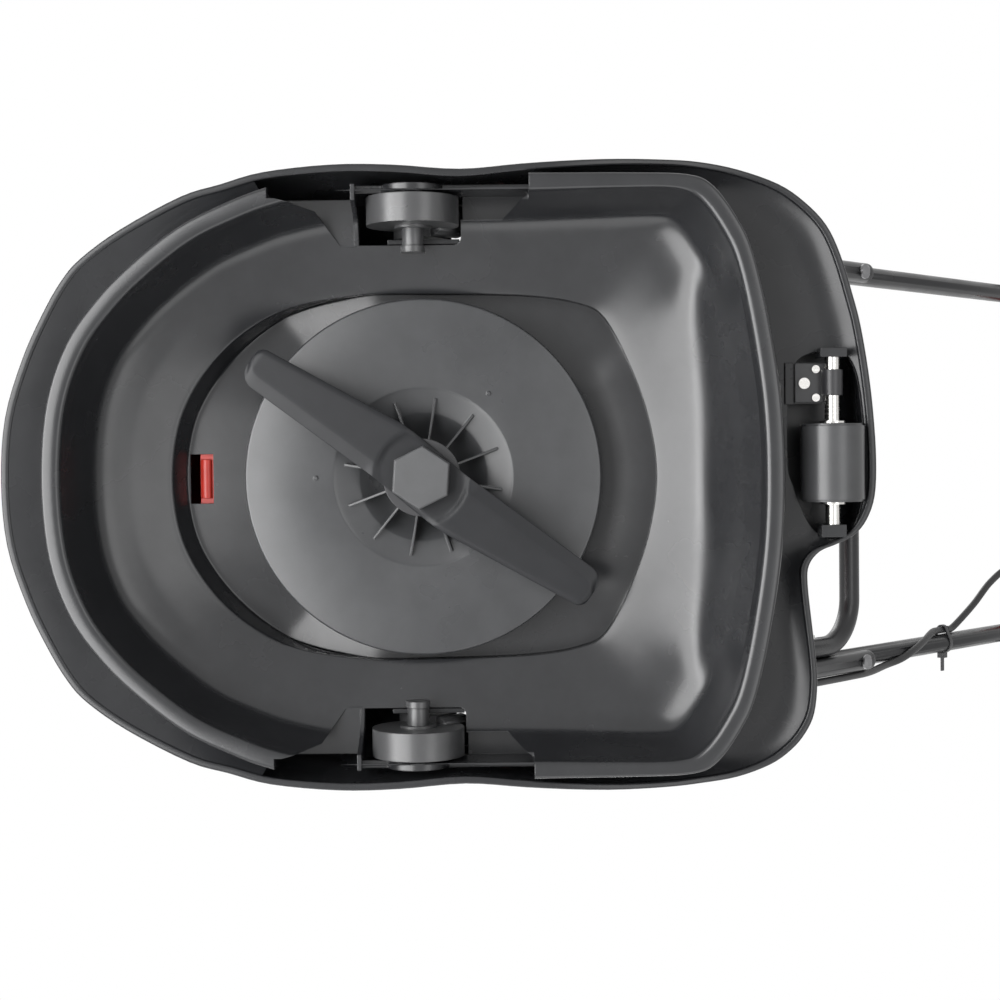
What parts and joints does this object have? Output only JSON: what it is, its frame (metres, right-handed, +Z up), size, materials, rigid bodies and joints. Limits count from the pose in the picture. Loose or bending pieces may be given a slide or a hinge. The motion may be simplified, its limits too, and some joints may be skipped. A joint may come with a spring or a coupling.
{
  "type": "hover mower",
  "caption": "Electric hover mower with an oval plastic deck, impeller and flat blade, rear roller, red motor hood and a folding tube handle with switch box and bail.",
  "frame": {"origin": "on the blade axis at ground level, in the plane that the deck's rim rests on", "axes": "+Z up, +Y to the rear where the handle leans, -Y to the front, +X to the mower's left"},
  "size_m": [0.3928, 1.0148, 0.8772],
  "materials": {
    "deck_plastic": "semi-gloss",
    "cover_plastic": "semi-gloss",
    "red_plastic": "gloss",
    "black_plastic": "satin",
    "white_plastic": "satin",
    "tube_paint": "semi-gloss",
    "bright_steel": "bright",
    "dark_steel": "satin",
    "cast_aluminium": "cast",
    "copper": "satin",
    "foam": "matt",
    "lead_rubber": "satin"
  },
  "bodies": {
    "base": {"deck": "deck_plastic", "cover": "cover_plastic", "hood": "red_plastic", "hood_clip": "red_plastic", "intake_grille": "black_plastic", "motor_mount": "cast_aluminium", "motor_stator": "dark_steel", "motor_cap": "cast_aluminium", "motor_bearings": "bright_steel", "brush_holders": "black_plastic", "capacitor": "white_plastic", "terminal_block": "white_plastic", "lead_gland": "black_plastic", "pivot_pins": "dark_steel", "roller_axle": "bright_steel", "axle_clamp": "dark_steel", "clamp_screws": "bright_steel", "axle_clips": "bright_steel", "deck_screws": "bright_steel", "motor_screws": "bright_steel", "hood_screws": "bright_steel"},
    "rotor": {"blade": "dark_steel", "blade_bolt": "dark_steel", "height_spacers": "black_plastic", "impeller": "deck_plastic", "motor_shaft": "bright_steel", "armature": "copper", "commutator": "copper"},
    "roller": {"roller": "black_plastic"},
    "handle": {"pivot_hub_left": "black_plastic", "pivot_hub_right": "black_plastic", "lower_leg_left": "tube_paint", "lower_leg_right": "tube_paint", "cross_brace": "tube_paint", "brace_bolts": "bright_steel", "middle_tube_left": "tube_paint", "middle_tube_right": "tube_paint", "joint_bolts": "bright_steel", "fold_bolts": "bright_steel", "tube_plugs": "black_plastic", "cable_ties": "black_plastic", "lead_lower": "lead_rubber"},
    "upper_handle": {"upper_loop": "tube_paint", "loop_plugs": "black_plastic", "foam_grip": "foam", "switch_box_lower": "black_plastic", "switch_box_upper": "black_plastic", "box_screws": "bright_steel", "microswitch": "black_plastic", "mains_inlet": "black_plastic", "bail_clip": "black_plastic", "lead_upper": "lead_rubber"},
    "knob_left": {"wing_knob_left": "red_plastic"},
    "knob_right": {"wing_knob_right": "red_plastic"},
    "bail": {"bail": "tube_paint"},
    "lock_button": {"lock_button": "red_plastic"}
  },
  "joints": [
    {"name": "blade_spin", "type": "hinge", "parent": "base", "child": "rotor", "pos_m": [0, 0, 0.05], "axis": [0, 0, 1], "continuous": true},
    {"name": "roller_spin", "type": "hinge", "parent": "base", "child": "roller", "pos_m": [0.0064, 0.2486, 0.03], "axis": [1, 0, 0], "continuous": true},
    {"name": "handle_pivot", "type": "hinge", "parent": "base", "child": "handle", "pos_m": [0, -0.004, 0.034], "axis": [1, 0, 0], "range_deg": [0, 43], "deforming": ["lead_lower"]},
    {"name": "handle_fold", "type": "hinge", "parent": "handle", "child": "upper_handle", "pos_m": [0, 0.5365, 0.63751], "axis": [1, 0, 0], "range_deg": [0, 160], "deforming": ["lead_upper"]},
    {"name": "knob_left_turn", "type": "hinge", "parent": "handle", "child": "knob_left", "pos_m": [0.14, 0.5365, 0.63751], "axis": [1, 0, 0], "continuous": true},
    {"name": "knob_right_turn", "type": "hinge", "parent": "handle", "child": "knob_right", "pos_m": [-0.14, 0.5365, 0.63751], "axis": [1, 0, 0], "continuous": true},
    {"name": "bail_squeeze", "type": "hinge", "parent": "upper_handle", "child": "bail", "pos_m": [0, 0.66949, 0.78013], "axis": [1, 0, 0], "range_deg": [0, 14], "stiffness_Nm_per_rad": 0.6, "springref_deg": -17.19},
    {"name": "lock_press", "type": "slide", "parent": "upper_handle", "child": "lock_button", "axis": [0, 0.7314, -0.682], "range_m": [0, 0.004], "stiffness_N_per_m": 200, "springref_m": -0.003}
  ]
}
